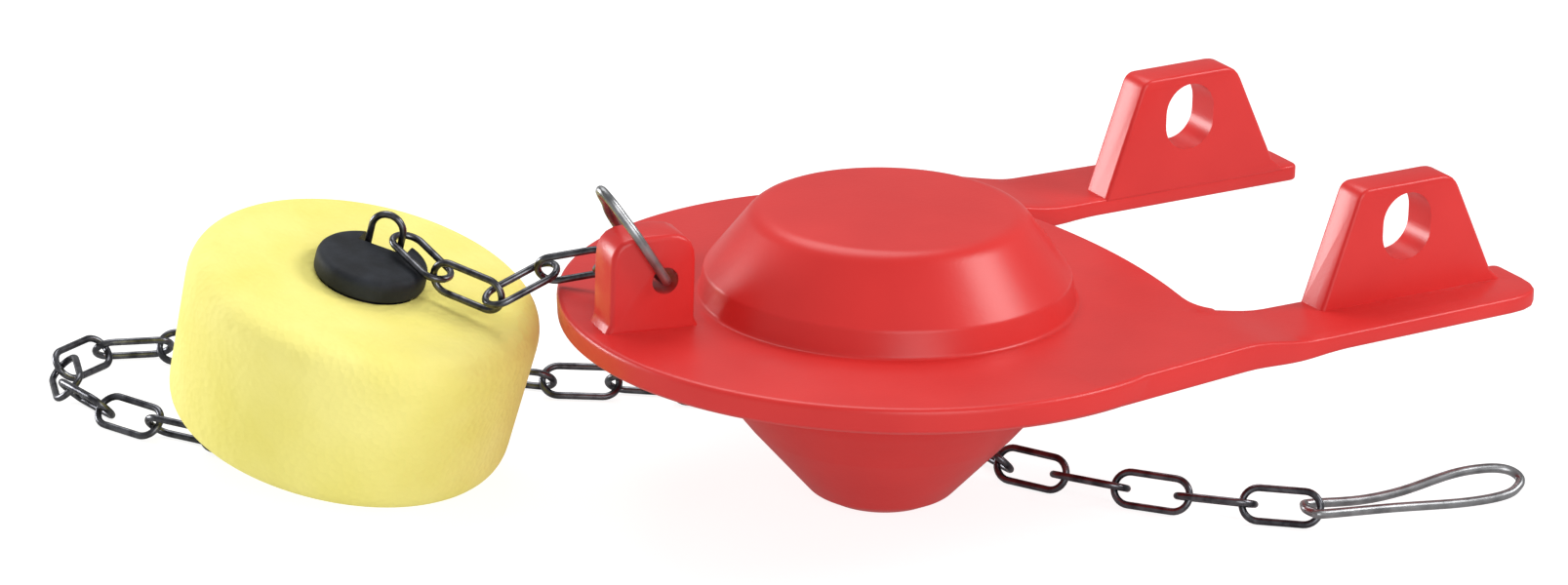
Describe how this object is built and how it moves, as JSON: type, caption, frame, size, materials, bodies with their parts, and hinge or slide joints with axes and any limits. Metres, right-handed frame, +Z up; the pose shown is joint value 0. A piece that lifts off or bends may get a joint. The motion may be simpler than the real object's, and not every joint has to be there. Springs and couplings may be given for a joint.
{
  "type": "toilet flapper",
  "caption": "Moulded rubber cistern flush valve flapper with hinge ears, hollow bulb, wire chain, foam float with plug, and end hook.",
  "frame": {"origin": "centre of the part's footprint, on the surface that it lies on", "axes": "+X from the chain lug to the hinge ears, along the longest side; +Z up, out of the dome"},
  "size_m": [0.1512, 0.1276, 0.044],
  "materials": {
    "red_rubber": "moulded, semi-gloss",
    "yellow_foam": "matt, fine closed-cell foam",
    "black_plastic": "satin",
    "stainless_wire": "bright drawn wire"
  },
  "bodies": {
    "flapper": {"flapper_body": "red_rubber", "lug_clip": "stainless_wire", "float": "yellow_foam", "float_plug": "black_plastic", "chain_link_01": "stainless_wire", "chain_link_02": "stainless_wire", "chain_link_03": "stainless_wire", "chain_link_04": "stainless_wire", "chain_link_05": "stainless_wire", "chain_link_06": "stainless_wire", "chain_link_07": "stainless_wire", "chain_link_08": "stainless_wire", "chain_link_09": "stainless_wire", "chain_link_10": "stainless_wire", "chain_link_11": "stainless_wire", "chain_link_12": "stainless_wire", "chain_link_13": "stainless_wire", "chain_link_14": "stainless_wire", "chain_link_15": "stainless_wire", "chain_link_16": "stainless_wire", "chain_link_17": "stainless_wire", "chain_link_18": "stainless_wire", "chain_link_19": "stainless_wire", "chain_link_20": "stainless_wire", "chain_link_21": "stainless_wire", "chain_link_22": "stainless_wire", "chain_link_23": "stainless_wire", "chain_link_24": "stainless_wire", "chain_link_25": "stainless_wire", "chain_link_26": "stainless_wire", "chain_link_27": "stainless_wire", "chain_link_28": "stainless_wire", "chain_link_29": "stainless_wire", "chain_link_30": "stainless_wire", "chain_link_31": "stainless_wire"},
    "tail_32": {"chain_link_32": "stainless_wire"},
    "tail_33": {"chain_link_33": "stainless_wire"},
    "tail_34": {"chain_link_34": "stainless_wire"},
    "tail_35": {"chain_link_35": "stainless_wire"},
    "tail_36": {"chain_link_36": "stainless_wire"},
    "hook": {"end_hook": "stainless_wire"}
  },
  "joints": [
    {"name": "tail_lift_near_flapper", "type": "hinge", "parent": "flapper", "child": "tail_32", "pos_m": [0.01517, -0.02634, 0.0024], "axis": [-0.8914, -0.4533, 0], "range_deg": [0, 12]},
    {"name": "tail_swing_near_flapper", "type": "hinge", "parent": "tail_32", "child": "tail_33", "pos_m": [0.01886, -0.03359, 0.0024], "axis": [0, 0, 1], "range_deg": [-40, 40]},
    {"name": "tail_lift_mid", "type": "hinge", "parent": "tail_33", "child": "tail_34", "pos_m": [0.02318, -0.04047, 0.0024], "axis": [-0.7838, -0.6211, 0], "range_deg": [0, 20]},
    {"name": "tail_swing_mid", "type": "hinge", "parent": "tail_34", "child": "tail_35", "pos_m": [0.02822, -0.04683, 0.0024], "axis": [0, 0, 1], "range_deg": [-40, 40]},
    {"name": "tail_lift_far", "type": "hinge", "parent": "tail_35", "child": "tail_36", "pos_m": [0.03394, -0.05261, 0.0024], "axis": [-0.6563, -0.7545, 0], "range_deg": [0, 30]},
    {"name": "hook_swing", "type": "hinge", "parent": "tail_36", "child": "hook", "pos_m": [0.04007, -0.05794, 0.0024], "axis": [0, 0, 1], "range_deg": [-60, 10]}
  ]
}
